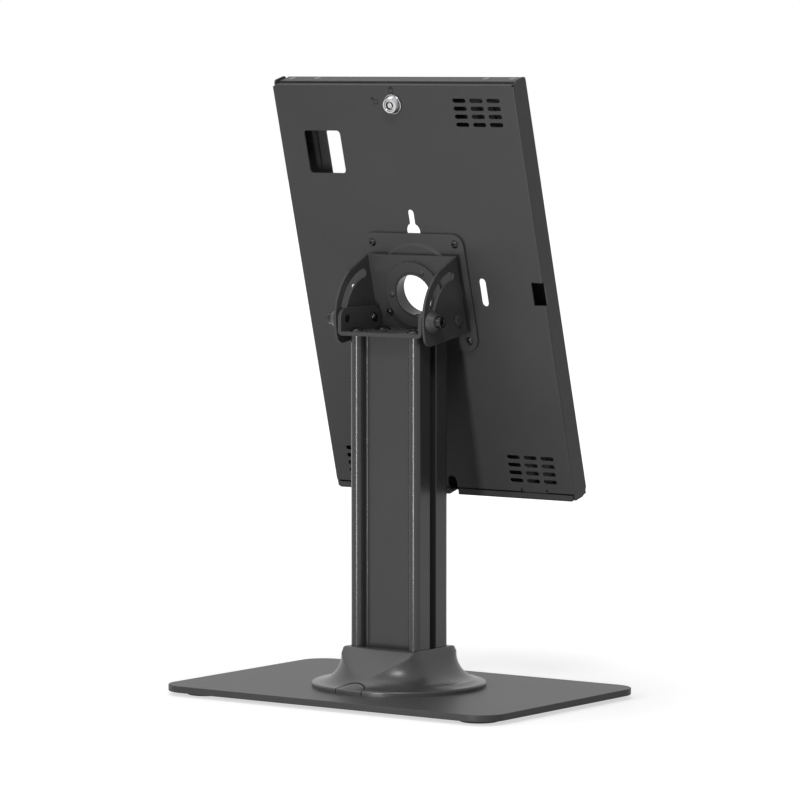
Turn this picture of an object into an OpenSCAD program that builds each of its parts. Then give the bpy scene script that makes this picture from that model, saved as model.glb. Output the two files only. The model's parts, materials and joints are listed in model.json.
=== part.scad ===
// Countertop security stand for a tablet. A locking sheet metal enclosure sits on a head that
// tilts and turns, on an extruded column that is bolted to a heavy base plate.
// The origin is the middle of the footprint, on the surface that the stand rests on. +Z is up,
// the screen faces -Y and the lock faces +Y. The head is drawn at its most upright tilt.

/* [Base] */
// Width of the base plate
base_w = 300; // [240:1:380]
// Depth of the base plate
base_d = 200; // [170:1:260]
// Thickness of the base plate
base_t = 5; // [4.5:0.5:8]
// Corner radius of the base plate
base_r = 20; // [8:1:30]
// Diameter of a rubber foot
foot_d = 30; // [20:1:36]
// Height of a rubber foot
foot_h = 3; // [2.5:0.5:6]
// Distance from a foot's centre to the plate's edges
foot_inset = 26; // [21:1:40]

/* [Column] */
// Width of the column
col_w = 62; // [60:0.5:64]
// Depth of the column
col_d = 42; // [41:0.5:43]
// Length of the column
col_h = 261; // [200:1:340]
// Radius of a corner post
post_r = 5; // [4.5:0.25:5.5]
// Wall thickness of the column
col_wall = 2.5; // [2:0.1:2.8]
// Depth of the wide channels in the front and back
recess_deep = 9; // [8:0.25:9.5]
// Width of the narrow grooves in the sides
groove_w = 8; // [6:0.25:9]
// Depth of the narrow grooves in the sides
groove_deep = 5; // [4:0.25:5.5]

/* [Base cover] */
// Radius of the cover's round flange
cover_r = 65; // [60:0.5:75]
// Radius of the cover's neck
neck_r = 43.5; // [42.5:0.25:46]
// Radius of the neck's top, at the collar
collar_r = 41.3; // [41:0.1:42]
// Height of the cover
cover_h = 30; // [29:0.5:40]
// Height of the flange's upright rim
rim_h = 3.8; // [3:0.1:4.5]
// Distance from the column to the collar's edge, at the sides
collar_side = 2; // [2:0.1:3]
// Distance from the column to the collar's edge, at the front and back
collar_front = 4.6; // [4:0.1:6]
// Outward run of the sloping faces for each unit of drop
facet_slope = 1.2; // [1.15:0.01:1.3]
// Height of the lower ends of the front and rear sloping faces
facet_low = 8.7; // [8:0.1:12]
// Radius of the hollow in the cover's sides
side_hollow = 24; // [20:0.5:25]
// Wall thickness of the cover
cover_wall = 2; // [1.6:0.1:2.2]
// Width of the cable gate
gate_w = 24; // [18:0.5:28]
// Rise of the cable gate's arch
gate_rise = 3.8; // [2.5:0.1:5]

/* [Head bracket] */
// Width of the bracket on top of the column
head_w = 76; // [74:0.5:80]
// Depth of the bracket
head_d = 50; // [48:0.5:54]
// Height of the bracket
head_h = 20.5; // [19:0.25:20.5]
// Sheet thickness of the bracket
head_t = 3; // [2.5:0.1:3.5]
// Corner radius of the bracket's flanges
head_r = 8; // [6:0.5:9]
// Distance of the tilt pivot in front of the column's centre
pivot_front = 17.5; // [17:0.1:18.5]
// Distance of the clamp bolt behind the column's centre
clamp_back = 16.5; // [15.5:0.1:17.5]
// Height of the tilt pivot above the column's top
pivot_up = 12; // [11.5:0.1:12.5]

/* [Tilt bracket] */
// Gap between the head bracket and an ear
ear_gap = 1; // [0.8:0.1:1.4]
// Sheet thickness of the tilt bracket
tilt_t = 2; // [1.5:0.1:2.4]
// Height of the bracket's web
web_h = 60; // [58:0.5:64]
// Distance from the pivot to the web's rear face
web_reach = 9.3; // [9.3:0.1:10]
// Distance from the pivot up to the turning centre
pivot_drop = 16.2; // [15.5:0.1:17]
// Radius of an ear's round edge
ear_r = 43.5; // [42:0.25:47]
// Radius of an ear's lower corner
ear_corner_r = 7; // [4:0.5:8]
// Drop of an ear's upper edge for each unit of length
ear_fall = 0.2; // [0.12:0.01:0.25]
// Rise of an ear's lower edge for each unit of length
ear_rise = 0.107; // [0.05:0.01:0.13]
// Width of the curved slot
slot_w = 6.8; // [6.6:0.1:8]
// Smallest tilt from upright
tilt_min = 15; // [15:1:20]
// Largest tilt from upright
tilt_max = 90; // [70:1:90]
// Radius of the raised disc in the web
disc_r = 25.4; // [25.2:0.1:28]
// Height of the raised disc
disc_up = 3.2; // [2.8:0.1:3.4]

/* [Turning joint] */
// Outer radius of the hub that the enclosure turns on
hub_r = 22.8; // [22.2:0.1:23]
// Radius of the cable passage at its rear mouth
bore_r = 15.5; // [12:0.25:15.5]
// Wall of the sleeve in the cable passage, at its rear mouth
sleeve_wall = 1.75; // [1.5:0.05:2]
// Widening of the cable passage towards the enclosure
bore_flare = 0.8; // [0.2:0.1:1]
// Radius of the circle of rivets
rivet_circle = 20; // [19.6:0.1:20.4]
// Radius of a rivet's shank
rivet_r = 1.5; // [1.2:0.1:1.6]
// Outer radius of the retaining disc
retainer_r = 32; // [28:0.5:33]
// Thickness of the retaining disc
retainer_t = 1; // [0.8:0.1:1.1]
// Outer radius of the friction ring
friction_r = 28.4; // [27:0.1:28.4]
// Sideways place of the turning lock screw
turn_lock_x = 27; // [26.8:0.1:28]
// Distance of the turning lock screw below the turning centre
turn_lock_down = 15; // [14.8:0.1:16]

/* [Mounting plate] */
// Side of the square mounting plate
plate_w = 90; // [88:0.5:100]
// Corner radius of the mounting plate
plate_r = 9.5; // [6:0.5:12]
// Thickness of the mounting plate
plate_t = 2.4; // [2.2:0.1:2.8]
// Radius of the plate's round boss
boss_r = 38; // [37:0.25:40]
// Height of the boss
boss_up = 1.6; // [1.5:0.1:1.8]
// Spacing of the plate's four screws
screw_pitch = 75; // [75:1:76]

/* [Enclosure] */
// Width of the enclosure
case_w = 219; // [214:1:260]
// Height of the enclosure above the turning centre
case_up = 159.8; // [159:0.2:180]
// Height of the enclosure below the turning centre
case_down = 161; // [160:0.5:180]
// Depth of the enclosure
case_depth = 18; // [17.5:0.5:24]
// Sheet thickness of the enclosure
sheet = 1.5; // [1.2:0.1:1.6]
// Outer radius of the bends
bend_r = 1.2; // [1:0.1:1.6]
// Corner radius of the front frame
frame_r = 1.8; // [1.8:0.1:5]
// Height of the return lip at the bottom
lip_h = 4.6; // [4.2:0.1:6]
// Width of the screen window
window_w = 158; // [130:1:170]
// Height of the window above the turning centre
window_up = 120; // [90:1:122]
// Height of the window below the turning centre
window_down = 117; // [90:1:120]
// Width of a hook tab
tab_w = 21; // [18:0.5:26]
// Distance of a hook tab's centre from the middle
tab_x = 74; // [70:0.5:80]

/* [Openings in the back panel] */
// Radius of the cable hole
cable_hole_r = 20; // [19.6:0.1:22]
// Width of the camera opening
camera_w = 33.5; // [28:0.5:34]
// Height of the camera opening
camera_h = 33; // [28:0.5:36]
// Sideways place of the camera opening's centre
camera_x = 70.2; // [69:0.2:74]
// Height of the camera opening's centre
camera_up = 106.5; // [104:0.5:110]
// Length of a vent slot
vent_len = 11.7; // [9:0.1:12.5]
// Width of a vent slot
vent_wide = 3.2; // [2.4:0.1:3.6]
// Sideways pitch of the vent slots
vent_pitch_x = 15.1; // [14:0.1:15.4]
// Height pitch of the vent slots
vent_pitch_z = 6.07; // [5.2:0.1:6.2]
// Columns of vent slots in a group
vent_cols = 3; // [2:1:3]
// Rows of vent slots in a group
vent_rows = 4; // [2:1:4]
// Sideways place of a vent group's centre
vent_x = 74.5; // [73:0.5:76]
// Height of a vent group's centre
vent_up = 137.6; // [136.5:0.2:138.4]
// Width of the keyhole's neck
keyhole_w = 5.4; // [4:0.1:6]
// Diameter of the keyhole's round part
keyhole_d = 12.4; // [10:0.2:14]
// Height of the keyhole's top end
keyhole_top = 62.7; // [61:0.1:66]
// Height of the centre of the keyhole's round part
keyhole_up = 46; // [45.8:0.1:48]
// Width of a wall slot
wall_slot_w = 6; // [4:0.1:7]
// Length of a wall slot
wall_slot_len = 21.5; // [18:0.5:26]
// Distance of a wall slot from the middle
wall_slot_x = 55.4; // [54:0.2:60]
// Width of the side port opening
port_w = 10.5; // [8:0.1:12]
// Height of the side port opening
port_h = 17.5; // [14:0.5:22]
// Width of the cable notch at the bottom
notch_w = 8; // [6:0.5:10]
// Height of the cable notch
notch_h = 9; // [8:0.5:12]

/* [Lock] */
// Height of the lock's centre above the turning centre
lock_up = 144; // [143.6:0.1:144.2]
// Radius of the lock's flange
lock_flange_r = 7.5; // [7:0.1:8]
// Radius of the lock's face
lock_face_r = 5.6; // [5:0.1:6.9]
// Distance that the lock stands out
lock_out = 5.5; // [3:0.5:9]
// Radius of the lock's threaded barrel
barrel_r = 6; // [5.6:0.1:6.2]
// Length of the barrel behind the panel
barrel_len = 8.5; // [8.4:0.1:9]
// Radius of the turning core
core_r = 4.3; // [4:0.05:4.5]
// Reach of the cam from the lock's centre
cam_reach = 12.6; // [11.5:0.1:12.8]
// Width of the cam
cam_w = 8; // [7.2:0.2:8.4]

/* [Fits] */
// Radial clearance of a turning fit
run_fit = 0.06; // [0.04:0.01:0.08]
// Gap between faces that rub
rub_gap = 0.1; // [0.05:0.05:0.15]
// Gap between parts that move past each other
move_gap = 0.3; // [0.3:0.05:0.4]
// Radial clearance of a screw in its hole
hole_fit = 0.1; // [0.05:0.05:0.15]
// Gap between the cover's collar and the column
collar_gap = 0.4; // [0.3:0.05:0.5]
// Slit beside the cable gate
gate_gap = 0.6; // [0.3:0.05:0.8]

/* [Hidden] */
$fn = 64;
// Slight overshoot of a cut past the face that it opens
eps = 0.5;
STEEL = [0.16, 0.16, 0.165];
BLACK = [0.06, 0.06, 0.06];
NYLON = [0.09, 0.09, 0.1];
CHROME = [0.8, 0.8, 0.82];
FOAM = [0.12, 0.12, 0.13];

// Screws, all as shank radius, head radius and head height
m6_r = 3;
m6_head_r = 6.5;
m6_head_h = 3.6;
m6_sunk_r = 5.8;
m6_sunk_h = 2.8;
m4_r = 2;
m4_head_r = 3.2;
m4_head_h = 2.4;
clamp_head_r = 4.3;
clamp_head_h = 3.9;
screw_reach = 20;

// Heights of the base and the column
plate_top = foot_h + base_t;
col_top = plate_top + col_h;
post_x = col_w / 2 - post_r;
post_y = col_d / 2 - post_r;
recess_w = 2 * (post_x - post_r);
recess_fillet = 1;
cavity_y = col_d / 2 - recess_deep - col_wall;
cavity_x = col_w / 2 - groove_deep - col_wall;
pocket_low = groove_w / 2 + col_wall;
pocket_high = post_y - post_r - hole_fit;
port_r = m6_r + hole_fit;

// Base cover
collar_x = col_w / 2 + collar_side;
collar_y = col_d / 2 + collar_front;
flare_r = cover_r - neck_r;
gate_side = rim_h + 0.2;
gate_arc = (gate_w * gate_w / 4 + gate_rise * gate_rise) / (2 * gate_rise);
gate_inner = 12;
gate_from = collar_y + gate_inner;

// Tilt and clamp axes
pivot_z = col_top + pivot_up;
clamp_arm = pivot_front + clamp_back;
head_bend_r = 3.5;
ear_bend_r = 2;
ear_in = head_w / 2 + ear_gap;
ear_out = ear_in + tilt_t;
barrel_shank_r = 3.4;
pivot_head_r = 4.3;
pivot_head_h = 1.5;
washer_r = 7;
cone_base_r = 8.35;
cone_tip_r = 5.6;
cone_h = 6;
cable_slot_w = 30;
cable_slot_d = 14;

// Depths from the enclosure's back face along the head's own axis
boss_top = plate_t + boss_up;
web_in = boss_top + 2;
web_out = web_in + tilt_t;
disc_out = web_out + disc_up;
pivot_out = web_out + web_reach;
retainer_in = move_gap;
retainer_out = retainer_in + retainer_t;
sleeve_out = disc_out + 0.4;
sleeve_r = bore_r + sleeve_wall;
rivet_head_r = 2.3;
rivet_head_h = 1.2;
disc_wall = 2;

// Enclosure, measured from the turning centre; the back face is depth 0
panel_drop = 1.4;
panel_up = case_up - panel_drop;
seam_gap = 1.2;
lip_top = lip_h - case_down;
panel_down = lip_top + seam_gap;
front_step = 1.2;
side_deep = case_depth - front_step;
side_top = case_up + front_step;
side_top_r = 2.6;
side_low_r = 8;
frame_side = case_w / 2 - sheet - move_gap;
top_lip = 5.5;
relief_d = 3.2;
relief_in = 0.6;
relief_deep = 3;
port_deep = 3;
frame_back = top_lip + 0.5;
side_short = 0.6;
catch_w = 30;
catch_low = lock_up + barrel_r + 1;
tab_drop = 3.4;
tab_step = sheet + 0.4;
tab_root = 2.4;
window_r = 4;
camera_r = 3;
nut_len = 3;
nut_r = 4;

// Lock
core_face = lock_out - 0.6;
core_stub = 4.6;
cam_t = 1.8;
cam_front = sheet + barrel_len - 1.2 + move_gap;
barrel_end = sheet + barrel_len - 1.5;
lock_nut_r = 9.2;
lock_nut_t = 3;

// Padding and stops inside the front frame
pad_t = 2;
pad_w = 12;
pad_edge = 7;
pad_x = (window_w / 2 + frame_side - sheet) / 2;
back_pad_t = 4;
back_pad_w = 26;
back_pad_inset = 28;
back_pad_x = case_w / 2 - back_pad_inset;
back_pad_up = 62;
stop_inset = 19.45;
stop_x = frame_side - stop_inset;
stop_w = 33;
stop_t = 1.5;
stop_h = 14;
stop_pitch = 23.5;
stop_hole_depth = 14;
stop_screw_r = 1.5;
stop_head_r = 2.8;
stop_head_h = 1;

module rounded_rect(w, h, r) {
    square([w - 2 * r, h], center = true);
    square([w, h - 2 * r], center = true);
    for (sx = [-1, 1], sy = [-1, 1])
        translate([sx * (w / 2 - r), sy * (h / 2 - r)]) circle(r);
}

module at_posts() {
    for (sx = [-1, 1], sy = [-1, 1])
        translate([sx * post_x, sy * post_y, 0]) children();
}

module both_sides() {
    children();
    mirror([1, 0, 0]) children();
}

// A solid of revolution about the X axis, pointing to +X
module along_x() {
    rotate([0, 90, 0]) children();
}

// A solid of revolution about the Y axis, pointing to +Y
module along_y() {
    rotate([-90, 0, 0]) children();
}

// Extrudes an outline that is drawn as (Y, Z) along X, centred
module extrude_x(len) {
    rotate([90, 0, 90]) translate([0, 0, -len / 2]) linear_extrude(len) children();
}

// Extrudes an outline that is drawn as (X, Z) from one depth to another
module extrude_y(from, to) {
    translate([0, to, 0]) rotate([90, 0, 0]) linear_extrude(to - from) children();
}

// Puts children, drawn upright about the turning centre, at the head's tilt
module on_head() {
    translate([0, -pivot_front, pivot_z])
        rotate([-tilt_min, 0, 0])
            translate([0, -pivot_out, pivot_drop]) children();
}

// A low domed head on the XY plane with a six-sided socket
module button_head(r, h, socket) {
    dome = (r * r + h * h) / (2 * h);
    difference() {
        intersection() {
            translate([0, 0, h - dome]) sphere(dome);
            cylinder(r = r, h = h);
        }
        translate([0, 0, h / 2]) cylinder(r = socket, h = h, $fn = 6);
    }
}

module base_plate() {
    color(STEEL) difference() {
        translate([0, 0, foot_h]) linear_extrude(base_t) rounded_rect(base_w, base_d, base_r);
        at_posts() {
            translate([0, 0, foot_h - eps]) cylinder(r = m6_r + hole_fit, h = base_t + 2 * eps);
            translate([0, 0, foot_h - eps])
                cylinder(r = m6_sunk_r + hole_fit, h = eps + hole_fit);
            translate([0, 0, foot_h + hole_fit])
                cylinder(r1 = m6_sunk_r + hole_fit, r2 = m6_r + hole_fit, h = m6_sunk_h);
        }
    }
}

module rubber_feet() {
    lip = 1;
    color(BLACK)
        for (sx = [-1, 1], sy = [-1, 1])
            translate([sx * (base_w / 2 - foot_inset), sy * (base_d / 2 - foot_inset), 0]) {
                cylinder(r1 = foot_d / 2 - lip, r2 = foot_d / 2, h = lip);
                translate([0, 0, lip]) cylinder(r = foot_d / 2, h = foot_h - lip);
            }
}

// Half of the cover's section, grown inwards by a wall: a neck that flares to a flange
module flare_section(wall) {
    flare_top = rim_h + flare_r;
    difference() {
        square([cover_r - wall, cover_h - wall]);
        translate([cover_r, flare_top]) circle(flare_r + wall);
        polygon([[neck_r - wall, flare_top], [collar_r - wall, cover_h], [cover_r, cover_h],
            [cover_r, flare_top]]);
    }
}

// The faces that cut the flare back to the collar: sloping planes at the front and the rear,
// which end above the flange, and hollows at the sides
module hip_solid(wall) {
    front = collar_y - wall * sqrt(1 + facet_slope * facet_slope);
    front_run = facet_slope * (cover_h - facet_low);
    wide = cover_r + eps;
    intersection() {
        extrude_x(2 * wide)
            polygon([[-wide, 0], [wide, 0], [wide, facet_low], [front + front_run, facet_low],
                [front, cover_h], [-front, cover_h], [-front - front_run, facet_low],
                [-wide, facet_low]]);
        extrude_y(-wide, wide)
            difference() {
                translate([-wide, 0]) square([2 * wide, cover_h]);
                for (sx = [-1, 1])
                    translate([sx * (collar_x + side_hollow), cover_h])
                        circle(side_hollow + wall);
            }
    }
}

module cover_form(wall) {
    intersection() {
        rotate_extrude($fn = 128) flare_section(wall);
        hip_solid(wall);
    }
}

module cover_shell() {
    difference() {
        cover_form(0);
        difference() {
            translate([0, 0, -eps]) cover_form(cover_wall);
            translate([0, 0, -eps]) cylinder(r = neck_r, h = 0.01);
        }
        translate([0, 0, -eps]) linear_extrude(cover_h + 2 * eps)
            rounded_rect(col_w + 2 * collar_gap, col_d + 2 * collar_gap, post_r + collar_gap);
    }
}

// The arched cable way through the flange at the back, grown by a gap
module gate_arch(gap) {
    extrude_y(gate_from, cover_r + eps)
        difference() {
            union() {
                translate([-gate_w / 2 - gap, -eps]) square([gate_w + 2 * gap, gate_side + eps]);
                intersection() {
                    translate([0, gate_side + gate_rise - gate_arc]) circle(gate_arc + gap);
                    translate([-gate_w / 2 - gap, gate_side])
                        square([gate_w + 2 * gap, gate_rise + gap]);
                }
            }
        }
}

module base_cover() {
    color(STEEL) translate([0, 0, plate_top]) difference() {
        cover_shell();
        gate_arch(0);
    }
}

module cable_gate() {
    color(STEEL) translate([0, 0, plate_top]) intersection() {
        cover_shell();
        gate_arch(-gate_gap);
    }
}

module column_section() {
    difference() {
        rounded_rect(col_w, col_d, post_r);
        for (sy = [-1, 1]) {
            difference() {
                translate([-recess_w / 2, sy > 0 ? col_d / 2 - recess_deep : -col_d / 2 - eps])
                    square([recess_w, recess_deep + eps]);
                for (sx = [-1, 1])
                    translate([sx * recess_w / 2, sy * (col_d / 2 - recess_deep)])
                        difference() {
                            square(2 * recess_fillet, center = true);
                            translate([-sx * recess_fillet, sy * recess_fillet])
                                circle(recess_fillet);
                        }
            }
            for (sx = [-1, 1])
                difference() {
                    translate([sx * (post_x - (post_r + eps) / 2), sy * (post_y + (post_r + eps) / 2)])
                        square(post_r + eps, center = true);
                    translate([sx * post_x, sy * post_y]) circle(post_r);
                }
        }
        for (sx = [-1, 1]) {
            translate([sx * (col_w / 2 - groove_deep / 2 + eps / 2), 0])
                square([groove_deep + eps, groove_w], center = true);
            for (sy = [-1, 1])
                translate([sx * (col_w / 2 - col_wall - cavity_x) / 2 + sx * cavity_x,
                        sy * (pocket_low + pocket_high) / 2])
                    square([col_w / 2 - col_wall - cavity_x + eps, pocket_high - pocket_low],
                        center = true);
        }
        square([2 * cavity_x, 2 * cavity_y], center = true);
        for (sx = [-1, 1], sy = [-1, 1])
            translate([sx * post_x, sy * post_y]) circle(port_r);
    }
}

module column() {
    color(STEEL) translate([0, 0, plate_top]) linear_extrude(col_h) column_section();
}

module base_screws() {
    color(BLACK) at_posts() difference() {
        union() {
            translate([0, 0, foot_h + hole_fit])
                cylinder(r1 = m6_sunk_r, r2 = m6_r, h = m6_sunk_h);
            translate([0, 0, foot_h + hole_fit]) cylinder(r = m6_r, h = base_t + screw_reach);
        }
        translate([0, 0, foot_h]) cylinder(r = m6_r * 0.75, h = m6_sunk_h * 0.7, $fn = 6);
    }
}

module head_bracket() {
    mid = head_h / 2;
    color(STEEL) translate([0, 0, col_top]) difference() {
        intersection() {
            extrude_y(-head_d / 2, head_d / 2) difference() {
                union() {
                    translate([-head_w / 2, head_bend_r])
                        square([head_w, head_h - head_bend_r]);
                    translate([head_bend_r - head_w / 2, 0])
                        square([head_w - 2 * head_bend_r, head_bend_r + eps]);
                    for (sx = [-1, 1])
                        translate([sx * (head_w / 2 - head_bend_r), head_bend_r])
                            circle(head_bend_r);
                }
                translate([head_t - head_w / 2, head_t])
                    square([head_w - 2 * head_t, head_h]);
            }
            extrude_x(head_w + 2 * eps) {
                translate([-head_d / 2, 0]) square([head_d, head_h - head_r]);
                translate([head_r - head_d / 2, mid])
                    square([head_d - 2 * head_r, head_h - mid]);
                for (sy = [-1, 1])
                    translate([sy * (head_d / 2 - head_r), head_h - head_r]) circle(head_r);
            }
        }
        at_posts() translate([0, 0, -eps]) cylinder(r = m6_r + hole_fit, h = head_t + 2 * eps);
        translate([0, 0, -eps]) linear_extrude(head_t + 2 * eps)
            rounded_rect(cable_slot_w, cable_slot_d, cable_slot_d / 2 - 0.01);
        translate([-head_w, -pivot_front, pivot_up])
            along_x() cylinder(r = barrel_shank_r + hole_fit, h = 2 * head_w);
        translate([-head_w, clamp_back, pivot_up])
            along_x() cylinder(r = m6_r + hole_fit, h = 2 * head_w);
    }
}

module head_screws() {
    color(BLACK) at_posts() translate([0, 0, col_top + head_t]) {
        button_head(m6_head_r, m6_head_h, m6_r * 0.7);
        translate([0, 0, -screw_reach]) cylinder(r = m6_r, h = screw_reach + m6_head_h / 4);
    }
}

module pivot_barrels() {
    start = head_w / 2 - head_t + move_gap;
    color(BLACK) both_sides() translate([start, -pivot_front, pivot_z]) along_x()
        difference() {
            union() {
                cylinder(r = barrel_shank_r, h = ear_out + rub_gap - start);
                translate([0, 0, ear_out + rub_gap - start])
                    cylinder(r = pivot_head_r, h = pivot_head_h);
            }
            translate([0, 0, -eps])
                cylinder(r = m4_r + hole_fit, h = ear_out + rub_gap - start + eps);
        }
}

module pivot_screws() {
    face = head_w / 2 - head_t;
    color(BLACK) both_sides() translate([face, -pivot_front, pivot_z]) {
        rotate([0, -90, 0]) button_head(m4_head_r, m4_head_h, m4_r * 0.6);
        translate([-m4_head_h / 4, 0, 0])
            along_x() cylinder(r = m4_r, h = head_t + ear_gap + m4_head_h / 4);
    }
}

module nylon_washers() {
    thick = ear_gap - rub_gap;
    color(NYLON) both_sides() for (place = [[-pivot_front, barrel_shank_r], [clamp_back, m6_r]])
        translate([head_w / 2, place[0], pivot_z]) along_x() difference() {
            cylinder(r = washer_r, h = thick);
            translate([0, 0, -eps]) cylinder(r = place[1] + hole_fit, h = thick + 2 * eps);
        }
}

module clamp_bolts() {
    start = head_w / 2 - head_t + hole_fit;
    seat = ear_out + rub_gap + cone_h;
    color(BLACK) both_sides() translate([start, clamp_back, pivot_z]) along_x() difference() {
        union() {
            cylinder(r = m6_r, h = seat - start + eps);
            translate([0, 0, seat - start]) cylinder(r = clamp_head_r, h = clamp_head_h);
        }
        translate([0, 0, seat - start + clamp_head_h / 2])
            cylinder(r = clamp_head_r * 0.55, h = clamp_head_h, $fn = 6);
    }
}

module cone_washers() {
    rim = 1.2;
    color(BLACK) both_sides() translate([ear_out + rub_gap, clamp_back, pivot_z]) along_x()
        difference() {
            union() {
                cylinder(r = cone_base_r, h = rim);
                translate([0, 0, rim])
                    cylinder(r1 = cone_base_r, r2 = cone_tip_r, h = cone_h - rim);
            }
            translate([0, 0, -eps]) cylinder(r = m6_r + hole_fit, h = cone_h + 2 * eps);
        }
}

// An ear's outline about the pivot, with depth to the right and height up
module ear_outline() {
    left = web_in - pivot_out;
    low = -web_h / 2 + pivot_drop;
    high = web_h / 2 + pivot_drop;
    far = 2 * ear_r;
    inner_r = ear_r - ear_corner_r;
    lift = ear_corner_r * sqrt(1 + ear_rise * ear_rise);
    start = low - ear_rise * left + lift;
    root = sqrt(ear_rise * ear_rise * start * start
        - (1 + ear_rise * ear_rise) * (start * start - inner_r * inner_r));
    corner_x = (root - ear_rise * start) / (1 + ear_rise * ear_rise);
    corner_y = start + ear_rise * corner_x;
    foot_x = corner_x + ear_corner_r * sin(atan(ear_rise));
    foot_y = corner_y - ear_corner_r * cos(atan(ear_rise));
    reach = far / inner_r;
    over_pivot = high + ear_fall * left;
    steep = 1 + ear_fall * ear_fall;
    chord = sqrt(max(0, pow(ear_fall * over_pivot, 2)
        - steep * (over_pivot * over_pivot - ear_r * ear_r)));
    arc_x = (ear_fall * over_pivot + chord) / steep;
    arc_y = over_pivot - ear_fall * arc_x;
    polygon([[left, low], [foot_x, foot_y], [arc_x, arc_y], [left, high]]);
    intersection() {
        circle(ear_r);
        polygon([[left, low], [foot_x, foot_y], [corner_x, corner_y],
            [corner_x * reach, corner_y * reach], [far, high - ear_fall * (far - left)],
            [left, high]]);
    }
    translate([corner_x, corner_y]) circle(ear_corner_r);
}

// The curved slot, from the bolt's place at the smallest tilt to that at the largest
module ear_slot() {
    far = 2 * clamp_arm;
    mid = (tilt_min + tilt_max) / 2;
    intersection() {
        difference() {
            circle(clamp_arm + slot_w / 2);
            circle(clamp_arm - slot_w / 2);
        }
        polygon([[0, 0], far * [cos(tilt_min), sin(tilt_min)], far * [cos(mid), sin(mid)],
            far * [cos(tilt_max), sin(tilt_max)]]);
    }
    for (a = [tilt_min, tilt_max])
        translate(clamp_arm * [cos(a), sin(a)]) circle(slot_w / 2);
}

module tilt_bracket() {
    deep = pivot_out + ear_r - web_in + eps;
    color(STEEL) on_head() difference() {
        union() {
            intersection() {
                translate([0, 0, -ear_r - pivot_drop])
                    linear_extrude(2 * ear_r + web_h) difference() {
                        union() {
                            translate([-ear_out, web_in + ear_bend_r]) square([2 * ear_out, deep]);
                            translate([ear_bend_r - ear_out, web_in])
                                square([2 * (ear_out - ear_bend_r), ear_bend_r + eps]);
                            for (sx = [-1, 1])
                                translate([sx * (ear_out - ear_bend_r), web_in + ear_bend_r])
                                    circle(ear_bend_r);
                        }
                        translate([-ear_in, web_out]) square([2 * ear_in, 2 * deep]);
                    }
                translate([0, pivot_out, -pivot_drop]) extrude_x(2 * ear_out + 2 * eps)
                    difference() {
                        ear_outline();
                        ear_slot();
                    }
            }
            translate([0, web_out - eps, 0]) along_y() cylinder(r = disc_r, h = disc_up + eps);
        }
        translate([0, web_in - eps, 0])
            along_y() cylinder(r = disc_r - disc_wall, h = disc_up + eps);
        along_y() cylinder(r = sleeve_r + hole_fit, h = disc_out + eps);
        at_rivets() cylinder(r = rivet_r + hole_fit, h = disc_out + eps);
        translate([turn_lock_x, 0, -turn_lock_down])
            along_y() cylinder(r = m4_r + hole_fit, h = web_out + eps);
        translate([0, pivot_out, -pivot_drop]) both_sides() translate([ear_in - eps, 0, 0])
            along_x() cylinder(r = barrel_shank_r + run_fit, h = tilt_t + 2 * eps);
    }
}

module at_rivets() {
    for (a = [0, 120, 240])
        rotate([0, -a, 0]) translate([rivet_circle, 0, 0]) along_y() children();
}

module rotation_hub() {
    color(STEEL) on_head() difference() {
        translate([0, retainer_out, 0])
            along_y() cylinder(r = hub_r, h = web_in + disc_up - retainer_out);
        along_y() cylinder(r = sleeve_r + hole_fit, h = disc_out);
        at_rivets() cylinder(r = rivet_r + hole_fit, h = disc_out);
    }
}

module hub_sleeve() {
    key_w = 3;
    key_deep = 1.1;
    color(NYLON) on_head() difference() {
        translate([0, retainer_in, 0])
            along_y() cylinder(r = sleeve_r, h = sleeve_out - retainer_in);
        translate([0, retainer_in, 0]) along_y()
            cylinder(r1 = bore_r + bore_flare, r2 = bore_r, h = sleeve_out - retainer_in);
        translate([-key_w / 2, disc_out - key_w, -bore_r - key_deep])
            cube([key_w, key_w + eps, 2 * key_deep]);
    }
}

module retaining_disc() {
    color(STEEL) on_head() difference() {
        translate([0, retainer_in, 0]) along_y() cylinder(r = retainer_r, h = retainer_t);
        along_y() cylinder(r = sleeve_r + hole_fit, h = retainer_out + eps);
        at_rivets() cylinder(r = rivet_r + hole_fit, h = retainer_out + eps);
    }
}

module friction_ring() {
    color(NYLON) on_head() translate([0, boss_top + rub_gap, 0]) along_y() difference() {
        cylinder(r = friction_r, h = web_in - boss_top - rub_gap);
        translate([0, 0, -eps]) cylinder(r = disc_r - 1, h = web_in);
    }
}

module hub_rivets() {
    color(STEEL) on_head() at_rivets() {
        translate([0, 0, retainer_in]) cylinder(r = rivet_r, h = disc_out - retainer_in + eps);
        translate([0, 0, disc_out]) intersection() {
            dome = (rivet_head_r * rivet_head_r + rivet_head_h * rivet_head_h)
                / (2 * rivet_head_h);
            translate([0, 0, rivet_head_h - dome]) sphere(dome);
            cylinder(r = rivet_head_r, h = rivet_head_h);
        }
    }
}

module turn_lock_screw() {
    shank = web_out - boss_top - move_gap;
    color(BLACK) on_head() translate([turn_lock_x, web_out, -turn_lock_down]) along_y() {
        button_head(m4_head_r, m4_head_h, m4_r * 0.6);
        translate([0, 0, -shank]) cylinder(r = m4_r, h = shank + m4_head_h / 4);
    }
}

module at_plate_screws() {
    for (sx = [-1, 1], sz = [-1, 1])
        translate([sx * screw_pitch / 2, 0, sz * screw_pitch / 2]) children();
}

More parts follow.
